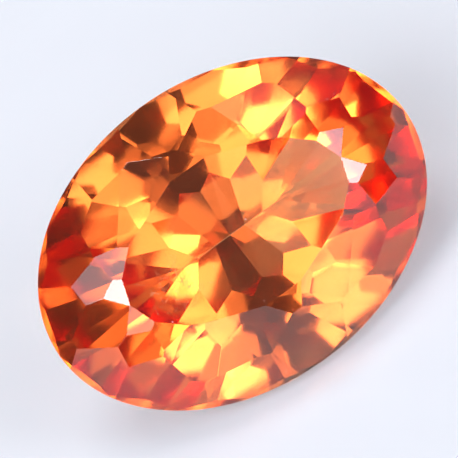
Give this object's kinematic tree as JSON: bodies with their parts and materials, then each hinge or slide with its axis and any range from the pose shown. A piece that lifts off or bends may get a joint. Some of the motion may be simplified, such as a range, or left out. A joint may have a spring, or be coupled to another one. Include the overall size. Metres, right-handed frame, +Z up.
{
  "type": "padparadscha sapphire",
  "caption": "Loose oval faceted gemstone of pinkish orange sapphire, lying on a side facet of its deep pavilion with the table turned up and forward.",
  "frame": {"origin": "centre of the bounding box's bottom, on the pavilion facet that the stone lies on", "axes": "+Z up; X along the stone's long axis; the table faces up and towards -Y"},
  "size_m": [0.012, 0.007, 0.0061],
  "materials": {
    "sapphire": "polished transparent corundum, pinkish orange, with a finely frosted girdle"
  },
  "bodies": {
    "root": {"sapphire": "sapphire"}
  },
  "joints": []
}
